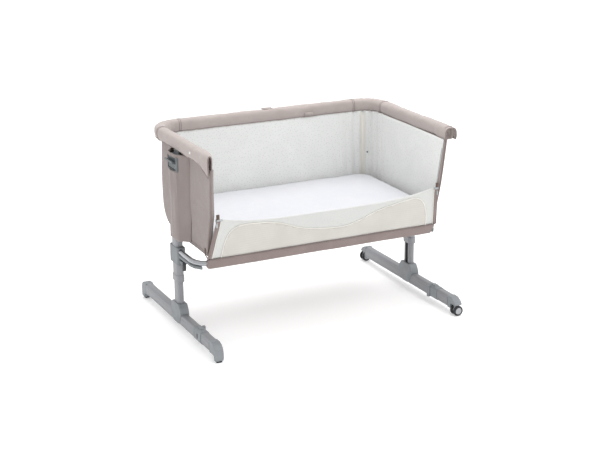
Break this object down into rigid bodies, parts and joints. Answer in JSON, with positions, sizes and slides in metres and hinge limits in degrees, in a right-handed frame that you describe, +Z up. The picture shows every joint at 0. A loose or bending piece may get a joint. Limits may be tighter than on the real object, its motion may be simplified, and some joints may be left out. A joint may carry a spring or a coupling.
{
  "type": "bedside bassinet on stand",
  "caption": "Bedside sleeping crib: padded fabric tub with a drop-down front, on two telescopic legs with fold-in foot bars and casters on one side.",
  "frame": {"origin": "on the floor below the middle of the crib", "axes": "+X along the crib's length, +Y towards its closed back, +Z up"},
  "size_m": [0.9514, 0.69, 0.669],
  "materials": {
    "painted_steel": "satin",
    "grey_plastic": "satin",
    "dark_plastic": "matte",
    "slate_plastic": "satin",
    "bare_steel": "satin",
    "wheel_rubber": "matte",
    "pad_rubber": "matte",
    "taupe_fabric": "matte",
    "mauve_binding": "matte",
    "white_lining": "matte",
    "white_sheet": "matte",
    "mesh_fabric": "matte",
    "brown_webbing": "matte"
  },
  "bodies": {
    "tub": {"rail_tube": "painted_steel", "back_rail_pad": "taupe_fabric", "back_panel": "white_lining", "front_wall": "white_lining", "base_board": "grey_plastic", "frame_tube": "bare_steel", "left_rail_pad": "taupe_fabric", "left_end_panel": "taupe_fabric", "left_pocket": "taupe_fabric", "left_upright": "painted_steel", "left_frame_housing": "grey_plastic", "left_lever_block": "slate_plastic", "left_strap_loop": "brown_webbing", "right_rail_pad": "taupe_fabric", "right_end_panel": "taupe_fabric", "right_pocket": "taupe_fabric", "right_upright": "painted_steel", "right_frame_housing": "grey_plastic", "right_lever_block": "slate_plastic", "right_strap_loop": "brown_webbing"},
    "bedding": {"mattress": "white_sheet"},
    "drop_side": {"front_flap": "mesh_fabric", "flap_hem": "mauve_binding"},
    "left_lever": {"left_height_lever": "slate_plastic"},
    "left_pin": {"left_lock_pin": "bare_steel"},
    "left_slider": {"left_zip_slider": "bare_steel"},
    "left_latch": {"left_frame_latch": "dark_plastic"},
    "left_stand": {"left_leg": "painted_steel", "left_leg_foot": "grey_plastic", "left_bar": "painted_steel", "left_hinge_fixed": "grey_plastic", "left_hinge_pin": "bare_steel", "left_back_cap": "grey_plastic", "left_back_pad": "pad_rubber"},
    "left_foot": {"left_hinge_swing": "grey_plastic", "left_front_bar": "painted_steel", "left_front_cap": "grey_plastic", "left_front_pad": "pad_rubber"},
    "left_button": {"left_latch_button": "dark_plastic"},
    "right_lever": {"right_height_lever": "slate_plastic"},
    "right_pin": {"right_lock_pin": "bare_steel"},
    "right_slider": {"right_zip_slider": "bare_steel"},
    "right_latch": {"right_frame_latch": "dark_plastic"},
    "right_stand": {"right_leg": "painted_steel", "right_leg_foot": "grey_plastic", "right_bar": "painted_steel", "right_hinge_fixed": "grey_plastic", "right_hinge_pin": "bare_steel", "right_back_cap": "grey_plastic", "right_back_axle": "bare_steel"},
    "right_foot": {"right_hinge_swing": "grey_plastic", "right_front_bar": "painted_steel", "right_front_cap": "grey_plastic", "right_front_axle": "bare_steel"},
    "right_button": {"right_latch_button": "dark_plastic"},
    "front_wheel_outer": {"right_front_wheel_outer": "wheel_rubber"},
    "front_wheel_inner": {"right_front_wheel_inner": "wheel_rubber"},
    "back_wheel_outer": {"right_back_wheel_outer": "wheel_rubber"},
    "back_wheel_inner": {"right_back_wheel_inner": "wheel_rubber"}
  },
  "joints": [
    {"name": "left_height", "type": "slide", "parent": "tub", "child": "left_stand", "axis": [0, 0, -1], "range_m": [0, 0.15]},
    {"name": "right_height", "type": "slide", "parent": "tub", "child": "right_stand", "axis": [0, 0, -1], "range_m": [0, 0.15]},
    {"name": "front_drop", "type": "hinge", "parent": "tub", "child": "drop_side", "pos_m": [0, -0.243, 0.432], "axis": [-1, 0, 0], "range_deg": [0, 178]},
    {"name": "mattress_lift", "type": "slide", "parent": "tub", "child": "bedding", "axis": [0, 0, 1], "range_m": [0, 0.2]},
    {"name": "left_lever_pull", "type": "hinge", "parent": "tub", "child": "left_lever", "pos_m": [-0.4587, 0, 0.601], "axis": [0, 1, 0], "range_deg": [0, 22], "stiffness_Nm_per_rad": 0.4, "springref_deg": -5.73},
    {"name": "left_pin_draw", "type": "slide", "parent": "tub", "child": "left_pin", "axis": [0, -1, 0], "range_m": [0, 0.0065]},
    {"name": "left_zip", "type": "slide", "parent": "tub", "child": "left_slider", "axis": [-0.1406, -0.281, 0.9493], "range_m": [0, 0.16]},
    {"name": "left_latch_press", "type": "hinge", "parent": "tub", "child": "left_latch", "pos_m": [-0.452, -0.0555, 0.25], "axis": [-1, 0, 0], "range_deg": [0, 20], "stiffness_Nm_per_rad": 0.1, "springref_deg": -5.73},
    {"name": "left_foot_fold", "type": "hinge", "parent": "left_stand", "child": "left_foot", "pos_m": [-0.4345, -0.171, 0.041], "axis": [0, 0, 1], "range_deg": [0, 90]},
    {"name": "left_button_press", "type": "slide", "parent": "left_foot", "child": "left_button", "axis": [1, 0, 0], "range_m": [0, 0.003], "stiffness_N_per_m": 400, "springref_m": -0.002},
    {"name": "right_lever_pull", "type": "hinge", "parent": "tub", "child": "right_lever", "pos_m": [0.4587, 0, 0.601], "axis": [0, -1, 0], "range_deg": [0, 22], "stiffness_Nm_per_rad": 0.4, "springref_deg": -5.73},
    {"name": "right_pin_draw", "type": "slide", "parent": "tub", "child": "right_pin", "axis": [0, -1, 0], "range_m": [0, 0.0065]},
    {"name": "right_zip", "type": "slide", "parent": "tub", "child": "right_slider", "axis": [0.1406, -0.281, 0.9493], "range_m": [0, 0.16]},
    {"name": "right_latch_press", "type": "hinge", "parent": "tub", "child": "right_latch", "pos_m": [0.452, -0.0555, 0.25], "axis": [-1, 0, 0], "range_deg": [0, 20], "stiffness_Nm_per_rad": 0.1, "springref_deg": -5.73},
    {"name": "right_foot_fold", "type": "hinge", "parent": "right_stand", "child": "right_foot", "pos_m": [0.4345, -0.171, 0.041], "axis": [0, 0, -1], "range_deg": [0, 90]},
    {"name": "right_button_press", "type": "slide", "parent": "right_foot", "child": "right_button", "axis": [-1, 0, 0], "range_m": [0, 0.003], "stiffness_N_per_m": 400, "springref_m": -0.002},
    {"name": "front_wheel_outer_spin", "type": "hinge", "parent": "right_foot", "child": "front_wheel_outer", "pos_m": [0.451, -0.34, 0.018], "axis": [0, 1, 0], "continuous": true},
    {"name": "front_wheel_inner_spin", "type": "hinge", "parent": "right_foot", "child": "front_wheel_inner", "pos_m": [0.451, -0.319, 0.018], "axis": [0, 1, 0], "continuous": true},
    {"name": "back_wheel_outer_spin", "type": "hinge", "parent": "right_stand", "child": "back_wheel_outer", "pos_m": [0.451, 0.34, 0.018], "axis": [0, 1, 0], "continuous": true},
    {"name": "back_wheel_inner_spin", "type": "hinge", "parent": "right_stand", "child": "back_wheel_inner", "pos_m": [0.451, 0.319, 0.018], "axis": [0, 1, 0], "continuous": true}
  ],
  "couplings": [
    {"joint": "left_pin_draw", "follows": "left_lever_pull", "m_per_rad": 0.01563},
    {"joint": "right_pin_draw", "follows": "right_lever_pull", "m_per_rad": 0.01563}
  ]
}
